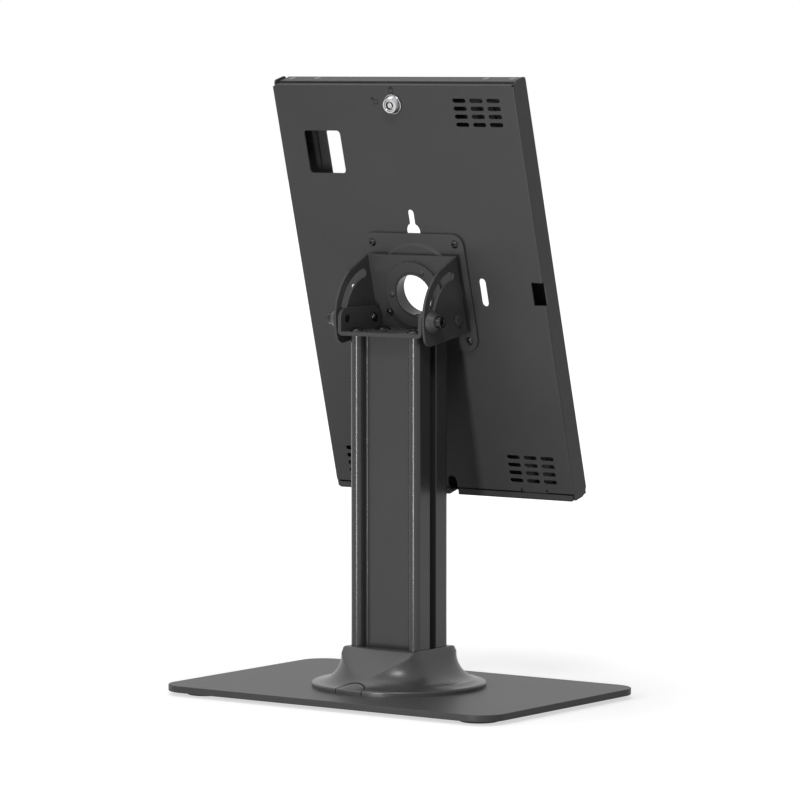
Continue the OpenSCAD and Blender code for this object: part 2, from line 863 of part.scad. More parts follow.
module vesa_plate() {
    draft = boss_up + 0.2;
    color(STEEL) on_head() difference() {
        union() {
            extrude_y(0, plate_t) rounded_rect(plate_w, plate_w, plate_r);
            translate([0, plate_t, 0])
                along_y() cylinder(r1 = boss_r, r2 = boss_r - draft, h = boss_up);
        }
        translate([0, -eps, 0]) along_y() cylinder(r = boss_r - 4, h = boss_up + eps);
        along_y() cylinder(r = hub_r + run_fit, h = boss_top + eps);
        at_plate_screws() translate([0, -eps, 0])
            along_y() cylinder(r = m4_r + hole_fit, h = plate_t + 2 * eps);
    }
}

module vesa_screws() {
    shank = plate_t + sheet + nut_len;
    color(BLACK) on_head() at_plate_screws() translate([0, plate_t, 0]) along_y() {
        button_head(m4_head_r, m4_head_h, m4_r * 0.6);
        translate([0, 0, -shank]) cylinder(r = m4_r, h = shank + m4_head_h / 4);
    }
}

module clinch_nuts() {
    color(CHROME) on_head() at_plate_screws() translate([0, -sheet - nut_len, 0]) along_y()
        difference() {
            cylinder(r = nut_r, h = nut_len);
            translate([0, 0, -eps]) cylinder(r = m4_r + hole_fit, h = nut_len + 2 * eps);
        }
}

// A slot with round ends, drawn flat, with its full length across
module obround(len, wide) {
    square([len - wide, wide], center = true);
    for (sx = [-1, 1]) translate([sx * (len - wide) / 2, 0]) circle(wide / 2);
}

module vent_group() {
    for (i = [0 : vent_cols - 1], j = [0 : vent_rows - 1])
        translate([(i - (vent_cols - 1) / 2) * vent_pitch_x,
                (j - (vent_rows - 1) / 2) * vent_pitch_z])
            obround(vent_len, vent_wide);
}

// Every opening in the back panel, drawn as (X, Z)
module panel_cuts() {
    circle(cable_hole_r);
    translate([0, lock_up]) circle(barrel_r + hole_fit);
    translate([camera_x, camera_up]) rounded_rect(camera_w, camera_h, camera_r);
    for (place = [[-1, 1], [-1, -1], [1, -1]])
        translate([place[0] * vent_x, place[1] * vent_up]) vent_group();
    for (sx = [-1, 1]) {
        translate([sx * wall_slot_x, 0])
            rotate(sx < 0 ? 90 : 0) obround(wall_slot_len, wall_slot_w);
        for (sz = [-1, 1])
            translate([sx * screw_pitch / 2, sz * screw_pitch / 2]) circle(m4_r + hole_fit);
        for (side = [-1, 1])
            translate([sx * tab_x + side * (tab_w / 2 + 0.8), panel_down])
                square([1.2, 5], center = true);
    }
    translate([0, keyhole_up]) circle(keyhole_d / 2);
    translate([-keyhole_w / 2, keyhole_up])
        square([keyhole_w, keyhole_top - keyhole_w / 2 - keyhole_up]);
    translate([0, keyhole_top - keyhole_w / 2]) circle(keyhole_w / 2);
    translate([-notch_w / 2, panel_down - eps])
        square([notch_w, notch_h - notch_w / 2 + eps]);
    translate([0, panel_down + notch_h - notch_w / 2]) circle(notch_w / 2);
}

module rear_housing() {
    half = case_w / 2;
    seam = panel_up - bend_r;
    color(STEEL) on_head() difference() {
        union() {
            translate([0, 0, panel_down]) linear_extrude(seam - panel_down) difference() {
                union() {
                    translate([-half, -side_deep]) square([case_w, side_deep - bend_r]);
                    translate([bend_r - half, -bend_r - eps])
                        square([case_w - 2 * bend_r, bend_r + eps]);
                    for (sx = [-1, 1])
                        translate([sx * (half - bend_r), -bend_r]) circle(bend_r);
                }
                translate([sheet - half, -side_deep - eps])
                    square([case_w - 2 * sheet, side_deep + eps - sheet]);
            }
            both_sides() translate([half - sheet, 0, 0])
                rotate([90, 0, 90]) linear_extrude(sheet) side_outline();
            extrude_x(2 * frame_side) top_lip_section();
            for (sx = [-1, 1]) translate([sx * tab_x - tab_w / 2, 0, 0]) hook_tab();
        }
        extrude_y(-sheet - eps, eps) panel_cuts();
        for (sx = [-1, 1])
            extrude_y(-relief_deep, eps)
                translate([sx * (half - relief_in), panel_up]) circle(relief_d / 2);
        translate([-half - eps, -port_deep, -port_h / 2])
            cube([port_w + eps, port_deep + eps, port_h]);
    }
}

// The panel's top edge, bent forward to a short lip, drawn as (Y, Z)
module top_lip_section() {
    root = panel_up - 2 * sheet - bend_r;
    difference() {
        union() {
            translate([-top_lip, root]) square([top_lip - bend_r, panel_up - root]);
            translate([-top_lip, root]) square([top_lip, panel_up - bend_r - root]);
            translate([-bend_r, panel_up - bend_r]) circle(bend_r);
        }
        translate([-top_lip - eps, root - eps])
            square([top_lip + eps - sheet, panel_up - sheet - root + eps]);
    }
}

// A side wall, drawn as (Y, Z): it runs past the panel's lower edge and stands above the frame
module side_outline() {
    low = -case_down + side_short;
    seam = panel_up - bend_r;
    front = -side_deep;
    wide = side_deep - bend_r;
    top_wide = side_deep - relief_deep;
    translate([front, low + side_low_r]) square([wide, seam - low - side_low_r]);
    translate([front + side_low_r, low]) square([wide - side_low_r, side_low_r + eps]);
    translate([front + side_low_r, low + side_low_r]) circle(side_low_r);
    translate([front, seam - eps]) square([top_wide, side_top - side_top_r - seam + eps]);
    translate([front + side_top_r, seam]) square([top_wide - 2 * side_top_r, side_top - seam]);
    for (y = [front + side_top_r, -relief_deep - side_top_r])
        translate([y, side_top - side_top_r]) circle(side_top_r);
}

// A tab that steps in from the panel's lower edge and hangs behind the frame's lip
module hook_tab() {
    translate([0, -tab_step - sheet, panel_down])
        cube([tab_w, tab_step + sheet - 0.01, tab_root]);
    translate([0, -tab_step - sheet, panel_down - tab_drop])
        cube([tab_w, sheet, tab_drop + tab_root]);
}

module back_pads() {
    color(FOAM) on_head()
        for (sx = [-1, 1], sz = [-1, 1])
            translate([sx * back_pad_x, 0, sz * back_pad_up])
                extrude_y(-sheet - back_pad_t, -sheet)
                    rounded_rect(back_pad_w, back_pad_w, 3);
}

module lock_body() {
    flange_t = 1.5;
    color(CHROME) on_head() translate([0, 0, lock_up]) along_y() difference() {
        union() {
            cylinder(r = lock_flange_r, h = flange_t);
            translate([0, 0, flange_t])
                cylinder(r1 = lock_flange_r - 0.4, r2 = lock_face_r, h = lock_out - flange_t);
            translate([0, 0, -barrel_end]) cylinder(r = barrel_r, h = barrel_end + eps);
        }
        translate([0, 0, -barrel_end - eps])
            cylinder(r = core_r + run_fit, h = barrel_end + lock_out + 2 * eps);
    }
}

module lock_nut() {
    color(CHROME) on_head() translate([0, -sheet - lock_nut_t, lock_up]) along_y()
        difference() {
            cylinder(r = lock_nut_r, h = lock_nut_t, $fn = 6);
            translate([0, 0, -eps]) cylinder(r = barrel_r + hole_fit, h = lock_nut_t + 2 * eps);
        }
}

module lock_core() {
    key_out = 3.3;
    key_in = 2;
    key_deep = 4;
    color(CHROME) on_head() translate([0, 0, lock_up]) along_y() {
        difference() {
            translate([0, 0, -cam_front]) cylinder(r = core_r, h = core_face + cam_front);
            translate([0, 0, core_face - key_deep]) difference() {
                cylinder(r = key_out, h = key_deep + eps);
                cylinder(r = key_in, h = key_deep);
            }
            translate([0, -0.6, core_face - key_deep]) cube([core_r + eps, 1.2, key_deep + eps]);
        }
        translate([-core_stub / 2, -core_stub / 2, -cam_front - cam_t])
            cube([core_stub, core_stub, cam_t + eps]);
    }
}

// The cam lies along +X when the lock is open and points up when it is locked
module lock_cam() {
    tail = 6;
    color(CHROME) on_head() translate([0, -cam_front, lock_up]) difference() {
        extrude_y(-cam_t, 0) difference() {
            union() {
                circle(tail);
                translate([0, -cam_w / 2]) square([cam_reach - cam_w / 2, cam_w]);
                translate([cam_reach - cam_w / 2, 0]) circle(cam_w / 2);
            }
            square(core_stub + 2 * hole_fit, center = true);
        }
    }
}

module cam_screw() {
    thick = 1.4;
    color(CHROME) on_head() translate([0, -cam_front - cam_t - thick, lock_up]) along_y()
        difference() {
            cylinder(r = m4_head_r + 0.8, h = thick);
            translate([0, 0, -eps]) cylinder(r = m4_r * 0.7, h = thick / 2 + eps, $fn = 6);
        }
}

// The front frame's outline, grown inwards; it stands between the housing's side walls
module frame_outline(inset) {
    h = case_up + case_down - 2 * inset;
    translate([0, (case_up - case_down) / 2])
        rounded_rect(2 * (frame_side - inset), h, frame_r - inset);
}

module front_frame() {
    front_edge = 0.3;
    bezel_in = case_depth - sheet;
    catch_in = frame_back + sheet;
    window_h = window_up + window_down;
    color(STEEL) on_head() difference() {
        union() {
            difference() {
                extrude_y(-case_depth + front_edge, -frame_back) frame_outline(0);
                extrude_y(-bezel_in, -frame_back + eps) frame_outline(sheet);
            }
            extrude_y(-case_depth, -case_depth + front_edge) frame_outline(front_edge / 2);
            for (part = [[frame_back + eps, sheet], [sheet, lip_h]])
                extrude_y(-part[0], 0) intersection() {
                    frame_outline(0);
                    translate([-case_w / 2, -case_down - eps]) square([case_w, part[1] + eps]);
                }
            translate([-catch_w / 2, -catch_in, catch_low])
                cube([catch_w, sheet, case_up - sheet / 2 - catch_low]);
        }
        extrude_y(-case_depth - eps, -bezel_in + eps)
            translate([0, (window_up - window_down) / 2])
                rounded_rect(window_w, window_h, window_r);
        translate([-notch_w / 2, -frame_back - notch_w / 2, -case_down - eps])
            cube([notch_w, frame_back + notch_w, lip_h + 2 * eps]);
        at_stop_screws() {
            translate([0, 0, -sheet - eps]) cylinder(r = stop_screw_r + hole_fit, h = sheet + 2 * eps);
            translate([0, 0, -stop_head_h])
                cylinder(r1 = stop_screw_r + hole_fit, r2 = stop_head_r + hole_fit,
                    h = stop_head_h + 0.01);
        }
    }
}

module at_stop_screws() {
    for (sx = [-1, 1], side = [-1, 1])
        translate([sx * stop_x + side * stop_pitch / 2, -stop_hole_depth, case_up]) children();
}

module front_pads() {
    bezel_in = case_depth - sheet;
    long = window_up + window_down;
    mid = (window_up - window_down) / 2;
    color(FOAM) on_head() {
        for (sx = [-1, 1])
            translate([sx * pad_x, 0, mid])
                extrude_y(-bezel_in, -bezel_in + pad_t) square([pad_w, long], center = true);
        for (z = [window_up + pad_edge + pad_w / 2, -window_down - pad_edge - pad_w / 2])
            translate([0, 0, z])
                extrude_y(-bezel_in, -bezel_in + pad_t) square([window_w, pad_w], center = true);
    }
}

// Angle brackets under the frame's top wall that the tablet's edge rests against
module tablet_stops() {
    front = case_depth - sheet - move_gap;
    back = frame_back + 1;
    top = case_up - sheet;
    color(STEEL) on_head() difference() {
        for (sx = [-1, 1]) translate([sx * stop_x - stop_w / 2, 0, 0]) {
            translate([0, -front, top - stop_t]) cube([stop_w, front - back, stop_t]);
            translate([0, -back - stop_t, top - stop_h]) cube([stop_w, stop_t, stop_h]);
        }
        at_stop_screws() translate([0, 0, -sheet - stop_t - eps])
            cylinder(r = stop_screw_r + hole_fit, h = stop_t + 2 * eps);
    }
}

module stop_screws() {
    tail = 2;
    color(BLACK) on_head() at_stop_screws() {
        translate([0, 0, -stop_head_h])
            cylinder(r1 = stop_screw_r, r2 = stop_head_r, h = stop_head_h);
        translate([0, 0, -sheet - stop_t - tail])
            cylinder(r = stop_screw_r, h = sheet + stop_t + tail);
    }
}

base_plate();
rubber_feet();
base_cover();
cable_gate();
column();
base_screws();
head_bracket();
head_screws();
pivot_barrels();
pivot_screws();
nylon_washers();
clamp_bolts();
cone_washers();
tilt_bracket();
rotation_hub();
hub_sleeve();
retaining_disc();
friction_ring();
hub_rivets();
turn_lock_screw();
vesa_plate();
vesa_screws();
clinch_nuts();
rear_housing();
back_pads();
lock_body();
lock_nut();
lock_core();
lock_cam();
cam_screw();
front_frame();
front_pads();
tablet_stops();
stop_screws();
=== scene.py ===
"""Looks of a countertop tablet stand: finishes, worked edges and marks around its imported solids."""
import json
import math

import bmesh
import bpy
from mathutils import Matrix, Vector


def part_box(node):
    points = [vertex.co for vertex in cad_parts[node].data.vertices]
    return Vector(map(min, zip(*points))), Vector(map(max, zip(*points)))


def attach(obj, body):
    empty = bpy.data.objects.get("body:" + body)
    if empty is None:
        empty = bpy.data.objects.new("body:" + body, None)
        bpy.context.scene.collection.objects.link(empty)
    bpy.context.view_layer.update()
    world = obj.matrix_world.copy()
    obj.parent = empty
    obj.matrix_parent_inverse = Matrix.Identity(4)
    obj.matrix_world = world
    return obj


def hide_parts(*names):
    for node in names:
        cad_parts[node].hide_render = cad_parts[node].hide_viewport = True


MM = 0.001

# Camera: the photographer's view from behind, at the lock's side
VIEW_AZIMUTH = math.radians(215.72)
VIEW_ELEVATION = math.radians(4.14)
VIEW_DISTANCE = 3.4927
VIEW_HEIGHT = 0.2211
VIEW_SHIFT_RIGHT = 0.00074
LENS_MM = 212.0
SENSOR_MM = 36.0
CLIP_NEAR = 0.05
CLIP_FAR = 60.0

# Studio: light for the surfaces, and the white that the floor shows near and far
AMBIENT = 0.12
FLOOR_HALF = 12.0
FLOOR_GREY = 0.45
FLOOR_ROUGH = 0.7
FLOOR_SHINE = 0.1
FLOOR_NEAR = 0.62
FLOOR_FADE = (0.18, 0.5)

# Finishes: grains per metre and their height, and how much the surface reflects
COATS = {
    "coated_steel": dict(grey=0.041, rough=0.44, grain_per_m=1500.0, bump_mm=0.03, shine=0.2),
    "column_paint": dict(grey=0.032, rough=0.2, grain_per_m=900.0, bump_mm=0.0002, shine=0.32),
    "cover_plastic": dict(grey=0.036, rough=0.3, grain_per_m=900.0, bump_mm=0.0005, shine=0.42),
    "black_screws": dict(grey=0.008, rough=0.13, grain_per_m=2600.0, bump_mm=0.002, shine=0.35),
    "nylon": dict(grey=0.022, rough=0.36, grain_per_m=1800.0, bump_mm=0.02, shine=0.4),
    "rubber": dict(grey=0.015, rough=0.7, grain_per_m=1400.0, bump_mm=0.06, shine=0.3),
    "foam": dict(grey=0.025, rough=0.85, grain_per_m=1100.0, bump_mm=0.15, shine=0.2),
}
METALS = {
    "lock_chrome": dict(grey=0.5, rough=0.2, stretch=(1, 1, 1)),
    "zinc": dict(grey=0.55, rough=0.32, stretch=(1, 6, 1)),
}
CLOUDS_PER_M = 22.0
LINES_PER_M = 900.0
COAT_DARK = (0.94, 0.94, 0.96)
COAT_LIGHT = (1.05, 1.05, 1.08)
METAL_DARK = (0.84, 0.84, 0.85)
METAL_LIGHT = (1.0, 1.0, 1.02)

# Worked edges
SHEET_EDGE = 0.00025
PLATE_EDGE = 0.0005
SHARP_ANGLE = math.radians(28)
WORKED_ANGLE = math.radians(50)
CRISP_ANGLE = math.radians(9)
FLAT_ANGLE = math.radians(0.4)
WELD = 1e-6

# Turned pieces, in millimetres
SEGMENTS = 72
EASE = 0.2
DOME_STEPS = 8
SOCKET_SHARE = 0.6

# Base cover, in millimetres over the base plate
COVER_R = 65.0
NECK_R = 43.5
COLLAR_R = 41.3
COVER_H = 30.0
RIM_H = 3.8
RIM_ROUND = 1.5
COLLAR_ROUND = 1.2
COLLAR_HALF = (33.0, 25.6)
FACET_SLOPE = 1.2
FACET_LOW = 8.7
COVER_WALL = 2.0
COLUMN_HALF = (31.4, 21.4)
COLUMN_ROUND = 5.4
SIDE_HOLLOW = 24.0
SIDE_WALL = 1.0
SOFT_TOP = 0.6
SOFT_GROWTH = 0.2
CREASE_SOFT = 0.45
CREASE_WIDE = 0.022
SIDE_COLUMNS = 30
FRONT_COLUMNS = 10
CREASE_COLUMNS = 8
FLARE_LEVELS = 26
ROUND_LEVELS = 12
GATE_HALF = 12.0
GATE_SIDE = 4.0
GATE_RISE = 3.8
GATE_FROM = 37.6
GATE_GAP = 0.6
GATE_BELOW = 1.0
TINY = 1e-9
HALVINGS = 40

# Column, in millimetres
COLUMN_W = 62.0
COLUMN_D = 42.0
POST_R = 5.0
POST_STEPS = 14
CHANNEL_DEEP = 9.0
CHANNEL_FILLET = 1.0
GROOVE_DEEP = 5.0
GROOVE_HALF = 4.0

# Padlock marks beside the lock, in millimetres from the turning centre
MARK_STROKE = 0.8
MARK_LIFT = 0.03
MARK_HALF = (1.8, 1.6)
SHACKLE_R = 1.0
SHACKLE_LEG = 0.4
LOCKED_PLACE = (0.4, 154.0)
OPEN_PLACE = (15.6, 145.6)

# The head's own directions: out of the back, and up along the panel
TILT = math.radians(15)
BACK = Vector((0, math.cos(TILT), -math.sin(TILT)))
UP = Vector((0, math.sin(TILT), math.cos(TILT)))


def new_material(name):
    """A material with an empty tree but for its shader and output; gives both trees' handles."""
    material = bpy.data.materials.new(name)
    material.use_nodes = True
    tree = material.node_tree
    return material, tree, tree.nodes["Principled BSDF"]


def add_noise(tree, scale, detail=4.0, roughness=0.55):
    """Noise in the object's own space, at a scale per metre."""
    coordinates = tree.nodes.new("ShaderNodeTexCoord")
    noise = tree.nodes.new("ShaderNodeTexNoise")
    noise.inputs["Scale"].default_value = scale
    noise.inputs["Detail"].default_value = detail
    noise.inputs["Roughness"].default_value = roughness
    tree.links.new(coordinates.outputs["Object"], noise.inputs["Vector"])
    return noise


def spread(tree, source, low, high, source_low=0.3, source_high=0.7):
    """Maps a source's middle range to the range from low to high."""
    ramp = tree.nodes.new("ShaderNodeMapRange")
    ramp.inputs["From Min"].default_value = source_low
    ramp.inputs["From Max"].default_value = source_high
    ramp.inputs["To Min"].default_value = low
    ramp.inputs["To Max"].default_value = high
    tree.links.new(source, ramp.inputs["Value"])
    return ramp.outputs["Result"]


def shade_range(tree, source, dark, light):
    """A colour that runs from dark to light with a source."""
    mix = tree.nodes.new("ShaderNodeMix")
    mix.data_type = "RGBA"
    mix.inputs["A"].default_value = (*dark, 1)
    mix.inputs["B"].default_value = (*light, 1)
    tree.links.new(source, mix.inputs["Factor"])
    return mix.outputs["Result"]


def add_bump(tree, shader, height, distance, strength):
    """Bends the shader's normal with a height."""
    bump = tree.nodes.new("ShaderNodeBump")
    bump.inputs["Distance"].default_value = distance
    bump.inputs["Strength"].default_value = strength
    tree.links.new(height, bump.inputs["Height"])
    tree.links.new(bump.outputs["Normal"], shader.inputs["Normal"])


def grainy(name, grey, rough, grain_per_m, bump_mm, shine):
    """A coated or moulded surface: a cloudy grey with uneven roughness and a fine grain."""
    material, tree, shader = new_material(name)
    cloud = add_noise(tree, CLOUDS_PER_M)
    grain = add_noise(tree, grain_per_m, 2.0)
    dark = [grey * part for part in COAT_DARK]
    light = [grey * part for part in COAT_LIGHT]
    colour = shade_range(tree, spread(tree, cloud.outputs["Fac"], 0.0, 1.0), dark, light)
    tree.links.new(colour, shader.inputs["Base Color"])
    uneven = spread(tree, grain.outputs["Fac"], rough * 0.9, rough * 1.1)
    tree.links.new(uneven, shader.inputs["Roughness"])
    shader.inputs["Specular IOR Level"].default_value = shine
    add_bump(tree, shader, grain.outputs["Fac"], bump_mm * MM, 0.3)
    return material


def brushed(name, grey, rough, stretch):
    """A metal with fine lines along one of its own axes."""
    material, tree, shader = new_material(name)
    coordinates = tree.nodes.new("ShaderNodeTexCoord")
    mapping = tree.nodes.new("ShaderNodeMapping")
    mapping.inputs["Scale"].default_value = stretch
    noise = tree.nodes.new("ShaderNodeTexNoise")
    noise.inputs["Scale"].default_value = LINES_PER_M
    noise.inputs["Detail"].default_value = 3.0
    tree.links.new(coordinates.outputs["Object"], mapping.inputs["Vector"])
    tree.links.new(mapping.outputs["Vector"], noise.inputs["Vector"])
    lines = spread(tree, noise.outputs["Fac"], 0.0, 1.0)
    dark = [grey * part for part in METAL_DARK]
    light = [grey * part for part in METAL_LIGHT]
    colour = shade_range(tree, lines, dark, light)
    tree.links.new(colour, shader.inputs["Base Color"])
    uneven = spread(tree, noise.outputs["Fac"], rough - 0.05, rough + 0.05)
    tree.links.new(uneven, shader.inputs["Roughness"])
    shader.inputs["Metallic"].default_value = 1.0
    add_bump(tree, shader, noise.outputs["Fac"], 0.02 * MM, 0.2)
    return material


def make_materials():
    """One material for each slot of the record."""
    made = {name: grainy(name, **look) for name, look in COATS.items()}
    made.update({name: brushed(name, **look) for name, look in METALS.items()})
    return made


def mesh_from(bm, name):
    """A mesh from a set of faces, with their normals turned outwards."""
    bmesh.ops.recalc_face_normals(bm, faces=bm.faces)
    mesh = bpy.data.meshes.new(name)
    bm.to_mesh(mesh)
    bm.free()
    return mesh


def shade(mesh, angle):
    """Smooth shading, but for the edges that are sharper than an angle."""
    mesh.shade_smooth()
    mesh.set_sharp_from_angle(angle=angle)


def close_prism(bm, ends):
    """Closes two like outlines into a prism."""
    for end in ends:
        bm.faces.new(end)
    for step in range(len(ends[0])):
        bm.faces.new((ends[0][step - 1], ends[0][step], ends[1][step], ends[1][step - 1]))


def add_piece(name, mesh, body, slot_name, *nodes):
    """An object that rides on a body and stands for some of its nodes."""
    piece = bpy.data.objects.new(name, mesh)
    bpy.context.scene.collection.objects.link(piece)
    mesh.materials.clear()
    mesh.materials.append(finishes[slot_name])
    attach(piece, body)
    if nodes:
        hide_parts(*nodes)
    return piece


def show_worked(node, edge):
    """Puts a copy in a node's place, with its flat faces joined up and its sharp edges rounded."""
    mesh = frame["nodes"][node].data.copy()
    mesh.name = node + "_worked"
    bm = bmesh.new()
    bm.from_mesh(mesh)
    bmesh.ops.remove_doubles(bm, verts=bm.verts, dist=WELD)
    bmesh.ops.dissolve_limit(
        bm,
        angle_limit=FLAT_ANGLE,
        use_dissolve_boundaries=False,
        verts=bm.verts,
        edges=bm.edges,
        delimit={"NORMAL"},
    )
    sharp = [e for e in bm.edges if e.calc_face_angle(0.0) > SHARP_ANGLE]
    bmesh.ops.bevel(
        bm,
        geom=sharp,
        offset=edge,
        offset_type="OFFSET",
        segments=2,
        profile=0.5,
        affect="EDGES",
        clamp_overlap=False,
    )
    bm.to_mesh(mesh)
    bm.free()
    shade(mesh, WORKED_ANGLE)
    piece = add_piece(mesh.name, mesh, body_of[node], slot_of[node], node)
    smooth = piece.modifiers.new("smooth", "WEIGHTED_NORMAL")
    smooth.keep_sharp = True


def show_plain(node):
    """Keeps a node's own mesh with its material."""
    thing = frame["nodes"][node]
    thing.data.materials.clear()
    thing.data.materials.append(finishes[slot_of[node]])


def solids_of(node):
    """The corners of each separate solid of a node."""
    bm = bmesh.new()
    bm.from_mesh(frame["nodes"][node].data)
    bmesh.ops.remove_doubles(bm, verts=bm.verts, dist=WELD)
    left = set(bm.verts)
    solids = []
    while left:
        edge_of_walk = [left.pop()]
        solid = []
        while edge_of_walk:
            vert = edge_of_walk.pop()
            solid.append(vert.co.copy())
            near = {edge.other_vert(vert) for edge in vert.link_edges} & left
            left -= near
            edge_of_walk.extend(near)
        solids.append(solid)
    bm.free()
    return sorted(solids, key=lambda solid: tuple(sum(solid, Vector()) / len(solid)))


def ring_reach(radius, flats, angle):
    """Distance to a circle, or to a shape with flats whose corners lie on the circle."""
    if not flats:
        return radius
    part = 2 * math.pi / flats
    return radius * math.cos(part / 2) / math.cos((angle + part / 2) % part - part / 2)


def add_turned(bm, rings, origin, outward, closed):
    """Adds a turned solid: rings are (radius, height over the origin, flats), in millimetres."""
    first = outward.orthogonal().normalized()
    second = outward.cross(first)
    loops = []
    for radius, height, flats in rings:
        loop = []
        for step in range(SEGMENTS):
            angle = 2 * math.pi * step / SEGMENTS
            reach = ring_reach(radius, flats, angle) * MM
            spoke = first * math.cos(angle) + second * math.sin(angle)
            loop.append(bm.verts.new(origin + spoke * reach + outward * height * MM))
        loops.append(loop)
    pairs = list(zip(loops, loops[1:]))
    if closed:
        pairs.append((loops[-1], loops[0]))
    else:
        bm.faces.new(loops[0])
        bm.faces.new(loops[-1])
    for lower, upper in pairs:
        for step in range(SEGMENTS):
            bm.faces.new((lower[step], lower[step - 1], upper[step - 1], upper[step]))


def show_turned(node, outward, make_rings, closed=False):
    """Puts finely turned solids in a node's place; outward gives each one's axis from its middle."""
    bm = bmesh.new()
    for solid in solids_of(node):
        middle = sum(solid, Vector()) / len(solid)
        axis = outward(middle)
        first = axis.orthogonal().normalized()
        second = axis.cross(first)
        low, high = ([pick(c.dot(axis) for c in solid) for pick in (min, max)])
        origin = axis * high
        for side in (first, second):
            reaches = [c.dot(side) for c in solid]
            origin += side * (min(reaches) + max(reaches)) / 2
        add_turned(bm, make_rings((low - high) / MM), origin, axis, closed)
    mesh = mesh_from(bm, node + "_turned")
    shade(mesh, SHARP_ANGLE)
    add_piece(mesh.name, mesh, body_of[node], slot_of[node], node)


def domed_head(shank, radius, height, socket):
    """Rings of a screw with a domed head and a six-sided socket."""
    sphere = (radius**2 + height**2) / (2 * height)
    wide = math.acos(1 - height / sphere)
    narrow = math.asin((socket + EASE) / sphere)
    angles = [wide + (narrow - wide) * step / DOME_STEPS for step in range(DOME_STEPS + 1)]
    dome = [(sphere * math.sin(a), sphere * (math.cos(a) - 1), 0) for a in angles]
    rim = dome[-1][1]

    def rings(end):
        root = [(shank, end, 0), (shank, -height, 0), (radius - EASE, -height, 0)]
        hole = [(socket, rim - EASE, 6), (socket, -height * SOCKET_SHARE, 6)]
        return root + dome + hole

    return rings


def rivet_head(shank, radius, height):
    """Rings of a rivet with a domed head."""
    sphere = (radius**2 + height**2) / (2 * height)
    wide = math.acos(1 - height / sphere)
    angles = [wide * (1 - step / DOME_STEPS) for step in range(DOME_STEPS)]
    dome = [(sphere * math.sin(a), sphere * (math.cos(a) - 1), 0) for a in angles]
    return lambda end: [(shank, end, 0), (shank, -height, 0)] + dome


def round_head(shank, radius, height, socket=0.0):
    """Rings of a flat cylindrical head with eased edges, plain or with a six-sided socket."""

    def rings(end):
        root = [(shank, end, 0), (shank, -height, 0), (radius - EASE, -height, 0)]
        side = [(radius, EASE - height, 0), (radius, -2 * EASE, 0)]
        top = [(radius - EASE / 2, -EASE / 2, 0), (radius - 2 * EASE, 0, 0)]
        hole = [(socket + EASE, 0, 0), (socket, -EASE, 6), (socket, -height / 2, 6)]
        return root + side + top + (hole if socket else [])

    return rings


def cone_washer(bore, wide, narrow, rim):
    """Rings of a washer with an upright rim and a sloping face."""

    def rings(end):
        low = [(bore, end, 0), (wide - EASE, end, 0), (wide, end + EASE, 0)]
        slope = [(wide, end + rim - EASE, 0), (wide - EASE, end + rim + EASE, 0)]
        top = [(narrow + EASE, -2 * EASE, 0), (narrow, -EASE, 0), (narrow - 2 * EASE, 0, 0)]
        return low + slope + top + [(bore, 0, 0)]

    return rings


def lock_shell(bore, barrel, flange, flange_t, neck, face, height):
    """Rings of the lock's body: a barrel, a flange and a tapered face."""

    def rings(end):
        back = [(bore, end, 0), (barrel, end, 0), (barrel, -height, 0)]
        edge = [(flange - EASE, -height, 0), (flange, EASE - height, 0)]
        lip = [(flange, flange_t - height - EASE, 0), (flange - EASE, flange_t - height, 0)]
        cone = [(neck, flange_t - height, 0), (face + EASE, -2 * EASE, 0)]
        front = [(face, -EASE / 2, 0), (face - 2 * EASE, 0, 0), (bore + EASE, 0, 0)]
        return back + edge + lip + cone + front + [(bore, -EASE, 0)]

    return rings


def key_core(radius, stub, stub_len, key_out, key_in, key_deep):
    """Rings of the lock's core: a square stub, and a ring-shaped keyway in its face."""

    def rings(end):
        tail = [(stub, end, 4), (stub, end + stub_len, 4), (radius, end + stub_len, 0)]
        face = [(radius, -EASE, 0), (radius - EASE, 0, 0), (key_out + EASE / 2, 0, 0)]
        slot = [(key_out, -EASE, 0), (key_out, -key_deep, 0), (key_in, -key_deep, 0)]
        pin = [(key_in, -EASE, 0), (key_in - EASE, 0, 0)]
        return tail + face + slot + pin

    return rings


def soft_least(first, second, softness):
    """The smaller of two lengths, with a soft passage from one to the other."""
    low = min(first, second)
    return low - softness * math.log(1 + math.exp(-abs(first - second) / softness))


def cover_reach(angle, flare, side, front, softness):
    """Distance from the axis to the cover's face: its sides blend softly, its fronts are crisp."""
    across = max(abs(math.cos(angle)), TINY)
    along = max(abs(math.sin(angle)), TINY)
    soft = soft_least(flare, side / across, softness)
    return soft_least(soft, front / along, CREASE_SOFT) if front else soft


def crease_angle(flare, side, front, softness):
    """The angle at which a front face meets the flare."""
    low, high = 0.1, math.pi / 2 - 2 * CREASE_WIDE
    for _ in range(HALVINGS):
        middle = (low + high) / 2
        soft = cover_reach(middle, flare, side, None, softness)
        if front / math.sin(middle) > soft:
            low = middle
        else:
            high = middle
    return low


def column_reach(angle):
    """Distance from the axis to the opening for the column, a rounded rectangle."""
    across = max(abs(math.cos(angle)), TINY)
    along = max(abs(math.sin(angle)), TINY)
    straight = min(COLUMN_HALF[0] / across, COLUMN_HALF[1] / along)
    mid_x, mid_y = (half - COLUMN_ROUND for half in COLUMN_HALF)
    if straight * across <= mid_x or straight * along <= mid_y:
        return straight
    reach = across * mid_x + along * mid_y
    return reach + math.sqrt(reach**2 - (mid_x**2 + mid_y**2 - COLUMN_ROUND**2))


def flare_at(height, wall):
    """Radius of the cover's round form at a height, grown inwards by a wall."""
    flare_r = COVER_R - NECK_R
    top = RIM_H + flare_r
    if height < top:
        drop = min(top - height, flare_r + wall)
        return min(COVER_R - math.sqrt((flare_r + wall) ** 2 - drop**2), COVER_R - wall)
    return NECK_R - wall - (NECK_R - COLLAR_R) * (height - top) / (COVER_H - top)


